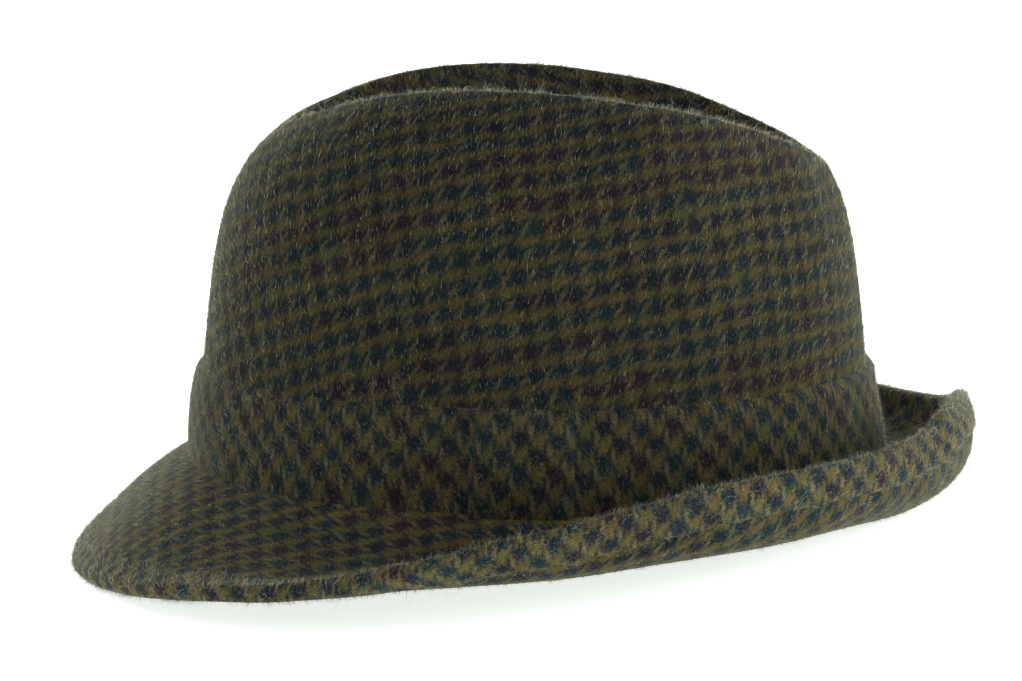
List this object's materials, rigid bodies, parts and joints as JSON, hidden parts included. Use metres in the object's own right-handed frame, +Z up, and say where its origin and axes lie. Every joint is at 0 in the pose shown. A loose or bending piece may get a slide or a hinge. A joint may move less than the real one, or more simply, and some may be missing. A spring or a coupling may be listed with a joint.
{
  "type": "trilby",
  "caption": "Tweed trilby with a dented crown, a brim turned down in front and up at the sides and back, a bound rim and a cloth band with a flat loop.",
  "frame": {"origin": "middle of the hat's box on the surface that it rests on", "axes": "+Z up, -Y towards the front of the hat, +X towards the wearer's left"},
  "size_m": [0.2604, 0.2716, 0.1317],
  "materials": {
    "crown_tweed": "dark olive and navy houndstooth wool tweed, soft and slightly hairy",
    "brim_tweed": "the same tweed, stiffer, in two layers",
    "binding_tweed": "the same tweed cut on the bias and folded over the rim",
    "band_tweed": "the same tweed cut on the bias"
  },
  "bodies": {
    "root": {"crown_side": "crown_tweed", "crown_tip": "crown_tweed", "brim": "brim_tweed", "brim_binding": "binding_tweed", "hat_band": "band_tweed", "band_loop": "band_tweed"}
  },
  "joints": []
}
